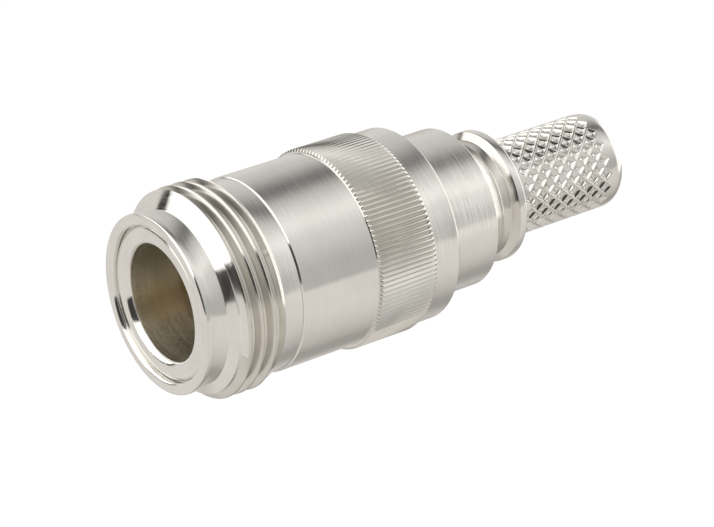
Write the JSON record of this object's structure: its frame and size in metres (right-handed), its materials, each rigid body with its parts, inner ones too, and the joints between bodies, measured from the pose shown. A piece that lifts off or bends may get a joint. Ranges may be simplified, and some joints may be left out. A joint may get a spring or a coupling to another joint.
{
  "type": "coaxial connector",
  "caption": "Crimp-on coaxial cable jack: threaded mating end with an open mouth, knurled grip ring, stepped body, flange and a diamond-knurled crimp ferrule that slides on the cable stem.",
  "frame": {"origin": "centre of the ferrule's flat end, the face the connector stands on", "axes": "+Z along the connector's axis, from the cable end up to the mating mouth; X and Y are alike"},
  "size_m": [0.0158, 0.0158, 0.0409],
  "materials": {
    "plated_front": "bright white-bronze plating, polished",
    "plated_rear": "white-bronze plating over fine turning marks",
    "plated_ferrule": "bright plating on a diamond knurl",
    "insulator": "white fluoropolymer",
    "contact": "gold plating"
  },
  "bodies": {
    "connector": {"front_shell": "plated_front", "rear_shell": "plated_rear", "front_insulator": "insulator", "rear_insulator": "insulator", "centre_contact": "contact"},
    "ferrule": {"crimp_ferrule": "plated_ferrule"}
  },
  "joints": [
    {"name": "ferrule_slide", "type": "slide", "parent": "connector", "child": "ferrule", "axis": [0, 0, -1], "range_m": [0, 0.0098]}
  ]
}
